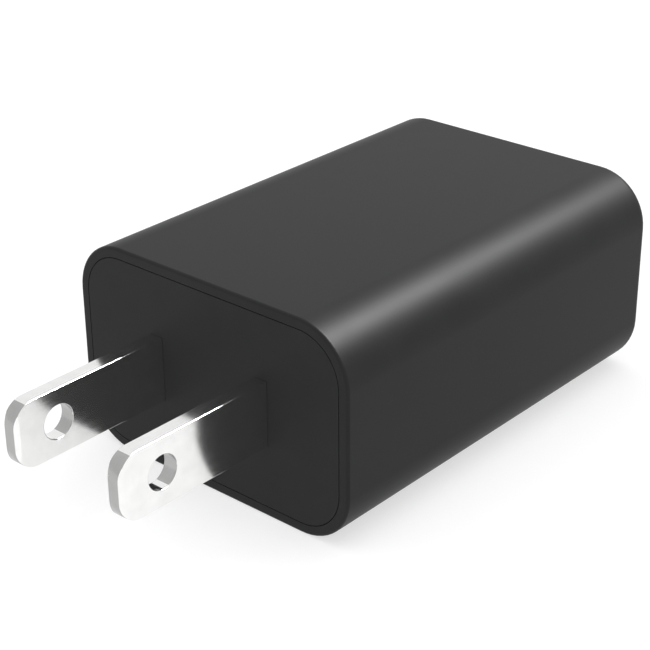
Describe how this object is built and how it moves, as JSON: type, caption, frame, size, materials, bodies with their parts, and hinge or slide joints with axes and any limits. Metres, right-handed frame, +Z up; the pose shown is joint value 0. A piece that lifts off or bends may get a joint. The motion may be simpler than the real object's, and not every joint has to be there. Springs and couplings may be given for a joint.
{
  "type": "usb wall charger",
  "caption": "Rounded-block mains adapter with fixed flat plug blades at one end and a USB-A port at the other.",
  "frame": {"origin": "under the middle of the whole length, on the plane of the body's lower face", "axes": "+X to the right seen from the blades, +Y from the blades to the USB port, +Z up"},
  "size_m": [0.0324, 0.0628, 0.0208],
  "materials": {
    "housing": "fine matt moulded charcoal",
    "plate": "fine matt moulded charcoal",
    "blade": "bright nickel plate",
    "live_wire": "red wire insulation",
    "neutral_wire": "black wire insulation",
    "board": "resin-bonded paper board",
    "fuse": "lacquered ceramic",
    "sleeve": "heat-shrink sleeve",
    "ferrite": "sintered ferrite",
    "copper": "enamelled copper wire",
    "secondary": "triple-insulated wire",
    "bulk_can": "plain shrink sleeve on aluminium",
    "seal": "rubber bung",
    "chip": "moulded epoxy",
    "resistor_chip": "thick-film chip",
    "capacitor_chip": "ceramic chip",
    "disc": "blue epoxy dip",
    "bobbin": "phenolic moulding",
    "tape": "yellow polyester tape",
    "tinned": "tinned wire",
    "output_can": "shrink sleeve on aluminium",
    "solder": "tin solder",
    "barrier": "fish paper",
    "port_shell": "nickel-plated steel sheet",
    "port_plastic": "white moulded tongue",
    "contact": "gold-flashed spring bronze"
  },
  "bodies": {
    "charger": {"housing_shell": "housing", "blade_plate": "plate", "blade_left": "blade", "blade_right": "blade", "live_lead": "live_wire", "neutral_lead": "neutral_wire", "main_board": "board", "fuse_resistor": "fuse", "fuse_sleeve": "sleeve", "choke_core": "ferrite", "choke_winding": "copper", "bulk_capacitor_left": "bulk_can", "bulk_capacitor_right": "bulk_can", "bulk_seal_left": "seal", "bulk_seal_right": "seal", "output_seal_left": "seal", "output_seal_right": "seal", "bridge_rectifier": "chip", "controller_chip": "chip", "clamp_diode": "chip", "chip_resistors": "resistor_chip", "chip_capacitors": "capacitor_chip", "y_capacitor": "disc", "transformer_bobbin": "bobbin", "primary_winding": "copper", "secondary_winding": "secondary", "winding_tape": "tape", "core_front": "ferrite", "core_rear": "ferrite", "core_tape": "tape", "transformer_pins": "tinned", "output_capacitor_left": "output_can", "output_capacitor_right": "output_can", "output_diode": "chip", "component_leads": "tinned", "solder_joints": "solder", "insulating_sheet": "barrier", "usb_shell": "port_shell", "usb_insulator": "port_plastic", "contact_tails": "contact"},
    "contact_1": {"contact_spring_1": "contact"},
    "contact_2": {"contact_spring_2": "contact"},
    "contact_3": {"contact_spring_3": "contact"},
    "contact_4": {"contact_spring_4": "contact"}
  },
  "joints": [
    {"name": "contact_1_flex", "type": "hinge", "parent": "charger", "child": "contact_1", "pos_m": [-0.0035, 0.0219, 0.0109], "axis": [1, 0, 0], "range_deg": [0, 3.2], "stiffness_Nm_per_rad": 0.045},
    {"name": "contact_2_flex", "type": "hinge", "parent": "charger", "child": "contact_2", "pos_m": [-0.001, 0.0219, 0.0109], "axis": [1, 0, 0], "range_deg": [0, 3.2], "stiffness_Nm_per_rad": 0.045},
    {"name": "contact_3_flex", "type": "hinge", "parent": "charger", "child": "contact_3", "pos_m": [0.001, 0.0219, 0.0109], "axis": [1, 0, 0], "range_deg": [0, 3.2], "stiffness_Nm_per_rad": 0.045},
    {"name": "contact_4_flex", "type": "hinge", "parent": "charger", "child": "contact_4", "pos_m": [0.0035, 0.0219, 0.0109], "axis": [1, 0, 0], "range_deg": [0, 3.2], "stiffness_Nm_per_rad": 0.045}
  ]
}
